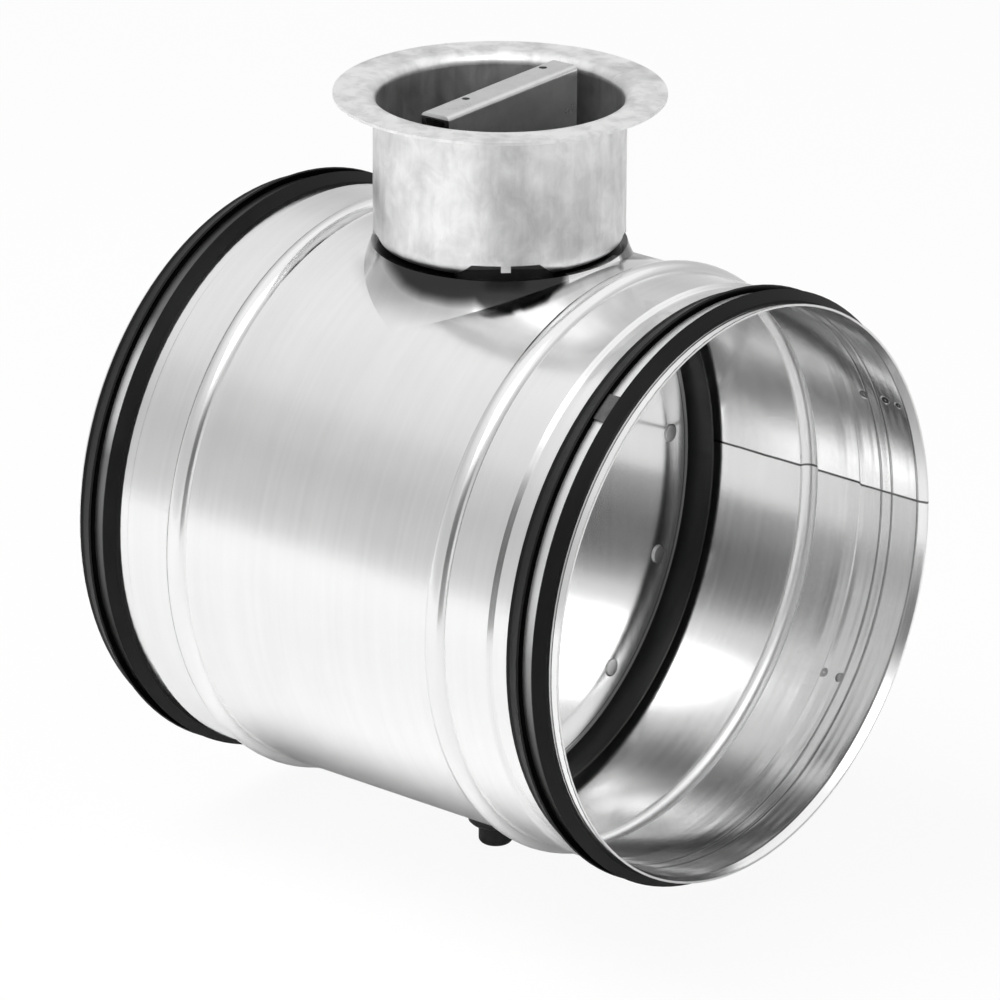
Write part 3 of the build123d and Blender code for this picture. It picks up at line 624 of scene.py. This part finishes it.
def mixed(tree, share, first, second, output):
    """Blends two shaders into the output."""
    both = tree.nodes.new("ShaderNodeMixShader")
    for place, socket in enumerate((share, first, second)):
        tree.links.new(socket, both.inputs[place])
    tree.links.new(both.outputs[0], tree.nodes[output].inputs["Surface"])


table_white = bpy.data.materials.new("pale table")
table_white.use_nodes = True
tree = table_white.node_tree
paint = tree.nodes["Principled BSDF"]
paint.inputs["Base Color"].default_value = (0.9, 0.9, 0.9, 1.0)
paint.inputs["Roughness"].default_value = 0.95
paint.inputs["Specular IOR Level"].default_value = 0.0
glow = tree.nodes.new("ShaderNodeEmission")
glow.inputs["Strength"].default_value = 1.0
table_share = white_for_rays(tree, camera_share=0.93, glossy_share=0.08)
mixed(tree, table_share, paint.outputs[0], glow.outputs[0], "Material Output")
table_top.data.materials.append(table_white)


def flag_paint(name, bottom, top, tones):
    """Plain glowing grey that changes with height."""
    material = bpy.data.materials.new(name)
    material.use_nodes = True
    tree = material.node_tree
    x, y, z = axes(tree, own_place(tree))
    greys = tones_along(tree, spread_over(tree, z, bottom, top, smooth=False), tones, "EASE")
    emission = tree.nodes.new("ShaderNodeEmission")
    tree.links.new(greys, emission.inputs["Color"])
    tree.links.new(emission.outputs[0], tree.nodes["Material Output"].inputs["Surface"])
    return material


def flag(name, azimuth, half_width, low, high, distance, tones):
    """A curved grey card that only the metal sees; angles in degrees, seen from the damper."""
    bpy.ops.mesh.primitive_cylinder_add(vertices=180, radius=distance, depth=1.0, end_fill_type="NOTHING")
    card = bpy.context.object
    card.name = name
    bpy.ops.object.mode_set(mode="EDIT")
    bpy.ops.mesh.select_all(action="DESELECT")
    bpy.ops.object.mode_set(mode="OBJECT")
    for face in card.data.polygons:
        bearing = math.degrees(math.atan2(face.center.x, -face.center.y))
        apart = (bearing - azimuth + 180.0) % 360.0 - 180.0
        face.select = abs(apart) > half_width
    bpy.ops.object.mode_set(mode="EDIT")
    bpy.ops.mesh.delete(type="FACE")
    bpy.ops.mesh.select_all(action="SELECT")
    bottom = distance * math.tan(math.radians(low))
    top = distance * math.tan(math.radians(high))
    bpy.ops.transform.resize(value=(1.0, 1.0, top - bottom), center_override=(0.0, 0.0, 0.0))
    bpy.ops.transform.translate(value=(0.0, 0.0, (top + bottom) / 2))
    bpy.ops.object.mode_set(mode="OBJECT")
    card.data.materials.append(flag_paint(name, bottom, top, tones))
    card.visible_camera = False
    card.visible_diffuse = False
    card.visible_shadow = False
    card.visible_transmission = False


flag("left studio wall", azimuth=-80.0, half_width=97.0, low=-6.0, high=58.0, distance=1.1,
     tones=[(0.0, 0.95), (0.062, 0.72), (0.113, 0.64), (0.275, 0.58), (0.40, 0.65), (0.553, 0.80),
            (0.669, 0.85), (1.0, 0.95)])
flag("right studio wall", azimuth=100.0, half_width=83.0, low=-6.0, high=40.0, distance=1.1,
     tones=[(0.0, 1.0), (0.12, 0.86), (0.22, 0.66), (0.50, 0.58), (0.76, 0.76), (1.0, 1.0)])
flag("front right flag", azimuth=45.0, half_width=16.0, low=-11.0, high=33.0, distance=0.5,
     tones=[(0.0, 0.42), (0.2, 0.28), (0.38, 0.15), (0.66, 0.17), (0.84, 0.38), (1.0, 1.0)])

world = bpy.data.worlds.new("white studio")
bpy.context.scene.world = world
world.use_nodes = True
tree = world.node_tree
room = tree.nodes["Background"]
room.inputs["Color"].default_value = (1.0, 1.0, 1.0, 1.0)
room.inputs["Strength"].default_value = 0.16
white = tree.nodes.new("ShaderNodeBackground")
white.inputs["Color"].default_value = (1.0, 1.0, 1.0, 1.0)
white.inputs["Strength"].default_value = 1.0
world_share = white_for_rays(tree, camera_share=1.0, glossy_share=1.0)
mixed(tree, world_share, room.outputs[0], white.outputs[0], "World Output")


def softbox(name, place, size, power):
    """An oblong lamp aimed at the middle of the damper."""
    lamp = bpy.data.lights.new(name, "AREA")
    lamp.shape = "RECTANGLE"
    lamp.size, lamp.size_y = size
    lamp.energy = power
    holder = bpy.data.objects.new(name, lamp)
    bpy.context.scene.collection.objects.link(holder)
    holder.location = place
    holder.rotation_mode = "QUATERNION"
    holder.rotation_quaternion = (-Vector(place)).to_track_quat("-Z", "Y")
    return holder


overhead = softbox("overhead softbox", place=(-0.45, -0.7, 1.6), size=(1.0, 1.0), power=30.0)
overhead.visible_glossy = False
softbox("front right softbox", place=(1.0, -0.85, 1.42), size=(1.5, 1.7), power=10.8)

# ---- Camera -----------------------------------------------------------------
# A long lens stands two metres off at the front right and looks down a little,
# so the open right end, the blade and the top of the handle all show.
azimuth = math.radians(39.99)
elevation = math.radians(20.76)
roll = math.radians(0.35)
aim = Vector((0.00079, 0.0, 0.00561))
distance = 2.04497
back = Vector((math.sin(azimuth) * math.cos(elevation), -math.cos(azimuth) * math.cos(elevation),
               math.sin(elevation)))
level = Vector((math.cos(azimuth), math.sin(azimuth), 0.0))
right = level * math.cos(roll) + back.cross(level) * math.sin(roll)
up = back.cross(right)
stand = aim + back * distance
lens = bpy.data.cameras.new("camera")
lens.sensor_width = 36.0
lens.lens = 271.5
lens.clip_start = 0.05
lens.clip_end = 20.0
camera = bpy.data.objects.new("camera", lens)
bpy.context.scene.collection.objects.link(camera)
camera.matrix_world = Matrix(((right.x, up.x, back.x, stand.x), (right.y, up.y, back.y, stand.y),
                              (right.z, up.z, back.z, stand.z), (0.0, 0.0, 0.0, 1.0)))
bpy.context.scene.camera = camera
bpy.context.scene.view_settings.view_transform = "Standard"
